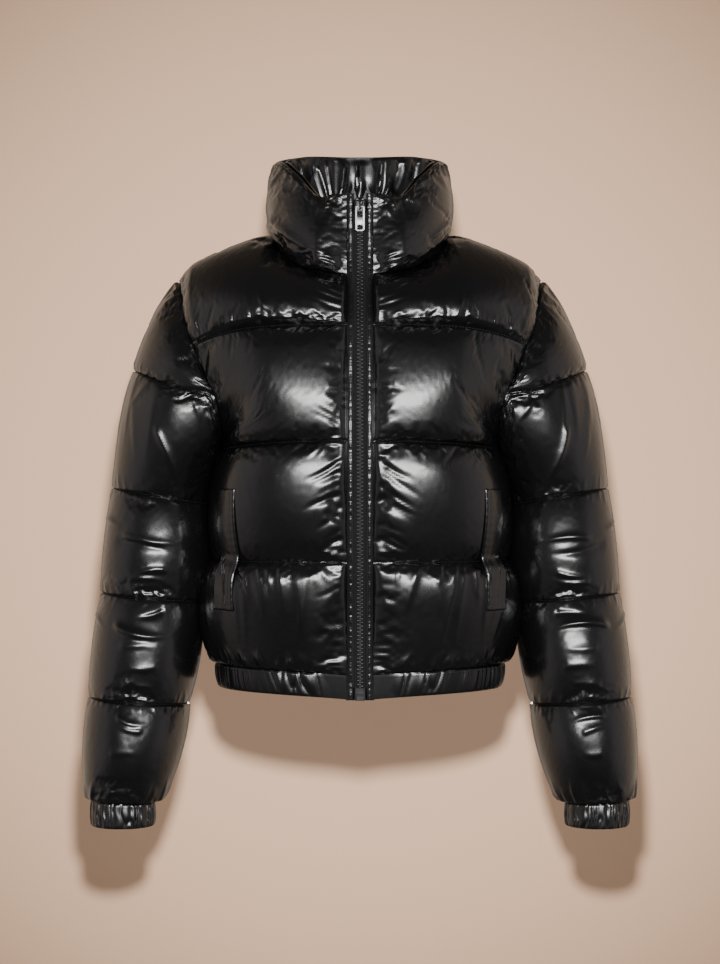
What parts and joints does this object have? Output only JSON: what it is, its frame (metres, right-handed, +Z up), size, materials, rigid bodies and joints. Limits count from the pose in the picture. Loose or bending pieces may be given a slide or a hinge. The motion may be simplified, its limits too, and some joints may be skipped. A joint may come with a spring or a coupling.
{
  "type": "puffer jacket",
  "caption": "Cropped quilted puffer jacket, filled out as worn and hollow, with a padded stand-up collar, full-length zip, elastic hem and cuffs, and a pull tab that hinges.",
  "frame": {"origin": "midway between the high shoulder points, level with the base of the neck, where the wearer's shoulders carry the jacket", "axes": "+Z up; the front faces -Y; the wearer's left side is +X"},
  "size_m": [0.6066, 0.2718, 0.7406],
  "materials": {
    "gloss_shell": "high gloss coated nylon",
    "elastic_trim": "glossy coated nylon, gathered on elastic",
    "zip_tape": "matt woven tape",
    "dark_metal": "satin black",
    "pale_metal": "satin silver"
  },
  "bodies": {
    "jacket": {"back": "gloss_shell", "collar_facing": "gloss_shell", "collar_outer": "gloss_shell", "cuff_left": "elastic_trim", "cuff_right": "elastic_trim", "front_left": "gloss_shell", "front_right": "gloss_shell", "hem_band": "elastic_trim", "pocket_welt_left": "gloss_shell", "pocket_welt_right": "gloss_shell", "sleeve_left": "gloss_shell", "sleeve_right": "gloss_shell", "zip_box": "dark_metal", "zip_slider": "dark_metal", "zip_strip_left": "gloss_shell", "zip_strip_right": "gloss_shell", "zip_tape_left": "zip_tape", "zip_tape_right": "zip_tape"},
    "pull_tab": {"zip_pull": "pale_metal"}
  },
  "joints": [
    {"name": "pull_tab_hinge", "type": "hinge", "parent": "jacket", "child": "pull_tab", "pos_m": [0, -0.10204, 0.0313], "axis": [-1, 0, 0], "range_deg": [0, 165]}
  ]
}
